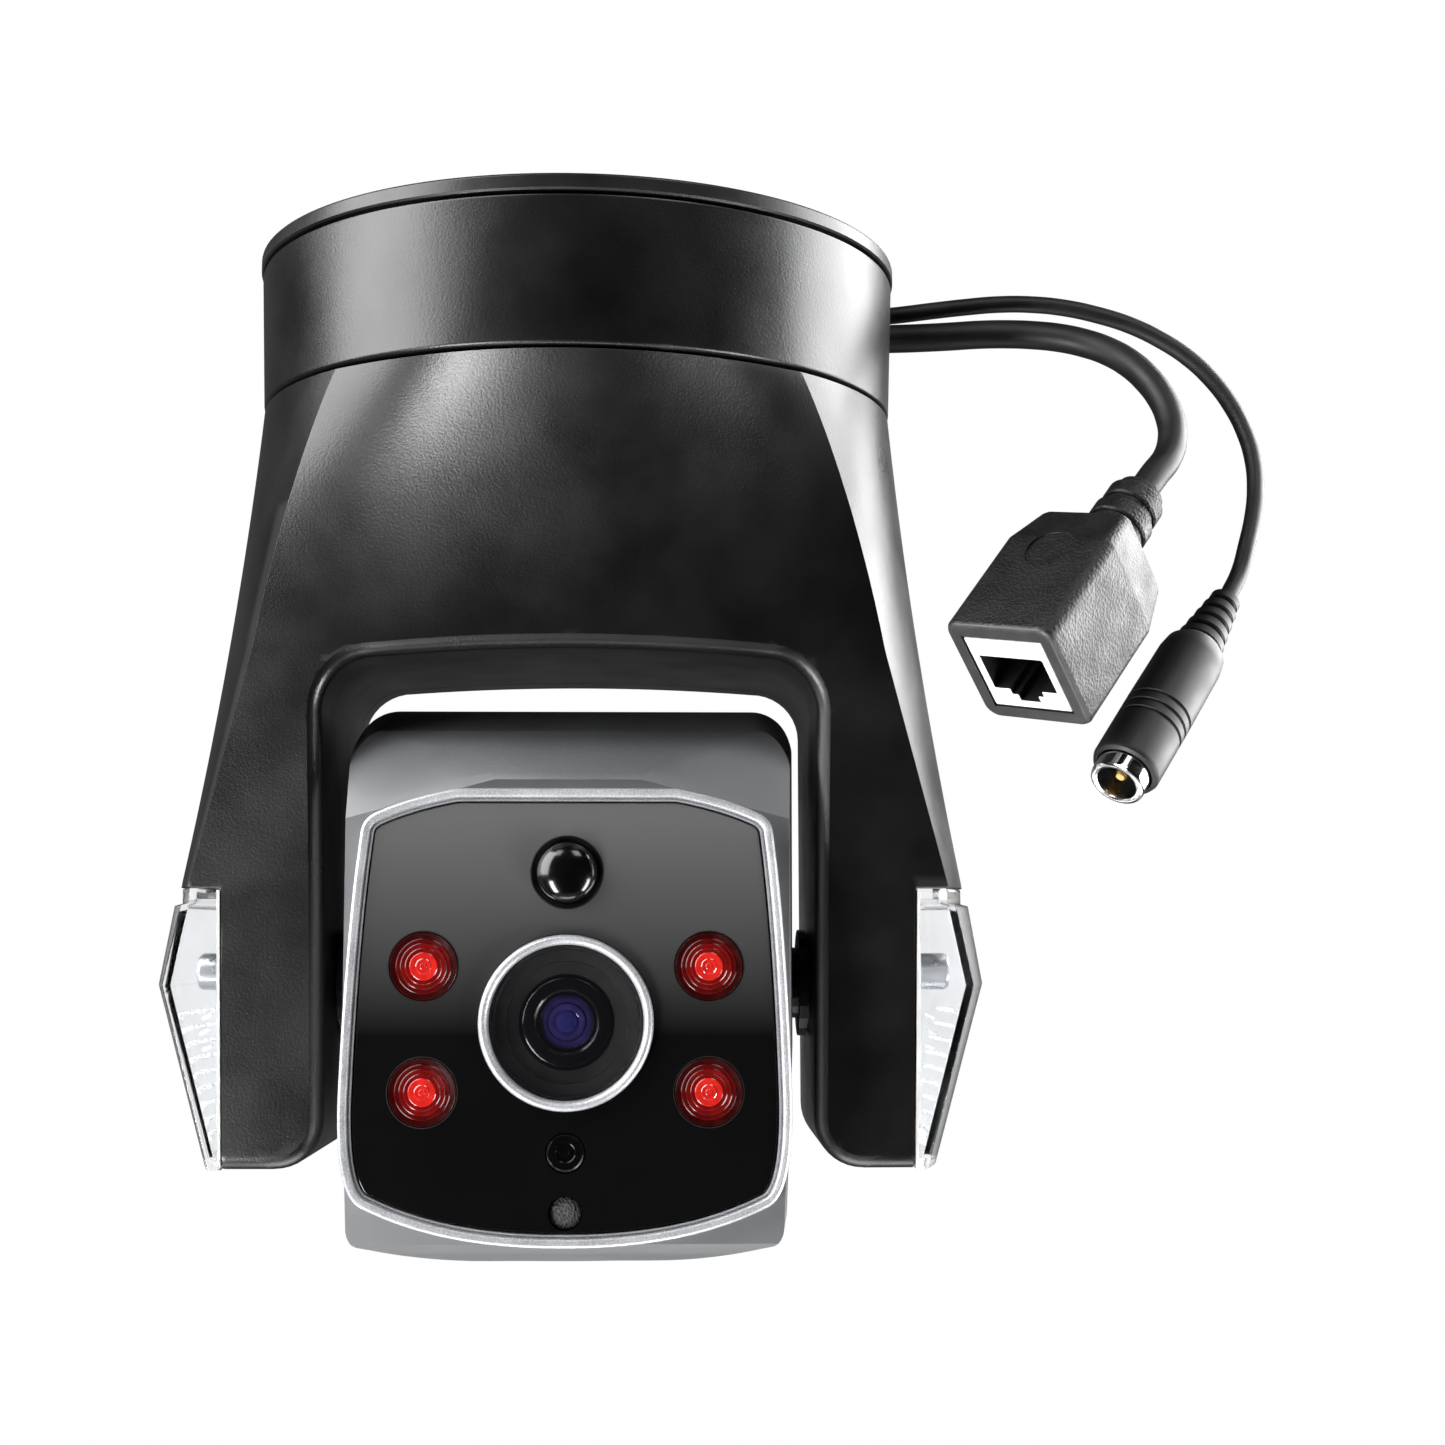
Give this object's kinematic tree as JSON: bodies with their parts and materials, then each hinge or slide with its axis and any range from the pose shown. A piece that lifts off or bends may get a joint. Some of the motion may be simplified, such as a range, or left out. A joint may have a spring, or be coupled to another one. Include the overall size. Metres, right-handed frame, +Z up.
{
  "type": "security camera",
  "caption": "Ceiling-mounted outdoor pan and tilt network camera: round base, flared fork with side lamps, tilting lens head, network and power pigtails.",
  "frame": {"origin": "centre of the ceiling face on top of the base", "axes": "+Z up, out of the ceiling face; the lens looks along -Y; the pigtails leave towards +X"},
  "size_m": [0.1888, 0.11, 0.1691],
  "materials": {
    "textured_black": "fine spark texture, semi-matt",
    "satin_metal": "satin metallic paint",
    "silver": "fine metallic silver",
    "smoked_glass": "high gloss, smoked",
    "red_lens": "gloss, clear red over a lamp",
    "black_plastic": "satin",
    "black_dome": "gloss",
    "clear_plastic": "clear moulded plastic",
    "coated_glass": "coated optical glass",
    "steel": "turned",
    "white_plastic": "moulded",
    "acetal": "waxy natural acetal",
    "board": "solder mask",
    "rubber": "moulded, semi-matt",
    "chrome": "bright plated",
    "gold": "gold plated"
  },
  "bodies": {
    "base": {"mounting_plate": "textured_black", "base_housing": "textured_black", "side_screw_1": "steel", "side_screw_2": "steel", "pan_bush": "acetal", "pan_motor": "steel", "base_board": "board", "power_module": "black_plastic", "cable_gland": "rubber", "ethernet_cord": "rubber", "power_cord": "rubber", "rj45_housing": "rubber", "rj45_insert": "white_plastic", "rj45_contacts": "gold", "rj45_strain_relief": "rubber", "dc_jack_body": "rubber", "dc_jack_barrel": "chrome", "dc_jack_pin": "gold"},
    "pan_pinion": {"pan_pinion": "acetal"},
    "yoke": {"yoke_front_shell": "textured_black", "yoke_rear_cover": "textured_black", "pan_hub": "steel", "pan_gear": "acetal", "pan_nut": "steel", "tilt_motor": "steel", "left_axle_bush": "acetal", "right_axle_bush": "acetal", "left_lamp_cover": "clear_plastic", "right_lamp_cover": "clear_plastic", "left_lamp_board": "board", "right_lamp_board": "board", "left_lamp_reflector": "silver", "right_lamp_reflector": "silver"},
    "tilt_pinion": {"tilt_pinion": "acetal"},
    "head": {"head_shell": "satin_metal", "head_rear_cover": "satin_metal", "bezel": "silver", "faceplate": "smoked_glass", "led_board": "board", "ir_lens_1": "red_lens", "ir_lens_2": "red_lens", "ir_lens_3": "red_lens", "ir_lens_4": "red_lens", "pir_lens": "black_dome", "pir_sensor": "steel", "light_sensor": "black_plastic", "microphone": "black_plastic", "lens_ring": "silver", "lens_window": "smoked_glass", "lens_barrel": "black_plastic", "lens_element": "coated_glass", "lens_holder": "black_plastic", "image_board": "board", "image_sensor": "black_plastic", "main_board": "board", "left_axle": "steel", "right_axle": "steel", "tilt_gear": "acetal"},
    "cut_filter": {"cut_filter": "coated_glass"}
  },
  "joints": [
    {"name": "pan", "type": "hinge", "parent": "base", "child": "yoke", "pos_m": [0, 0, -0.0265], "axis": [0, 0, 1], "range_deg": [-170, 170]},
    {"name": "pan_drive", "type": "hinge", "parent": "base", "child": "pan_pinion", "pos_m": [-0.0325, 0, -0.0175], "axis": [0, 0, 1], "range_deg": [-567, 567]},
    {"name": "tilt", "type": "hinge", "parent": "yoke", "child": "head", "pos_m": [0, 0, -0.1235], "axis": [1, 0, 0], "range_deg": [-20, 90]},
    {"name": "tilt_drive", "type": "hinge", "parent": "yoke", "child": "tilt_pinion", "pos_m": [-0.0446, 0, -0.0995], "axis": [1, 0, 0], "range_deg": [-271, 61]},
    {"name": "night_filter", "type": "slide", "parent": "head", "child": "cut_filter", "axis": [1, 0, 0], "range_m": [0, 0.006]}
  ],
  "couplings": [
    {"joint": "pan_drive", "follows": "pan", "ratio": -3.3333},
    {"joint": "tilt_drive", "follows": "tilt", "ratio": -3}
  ]
}
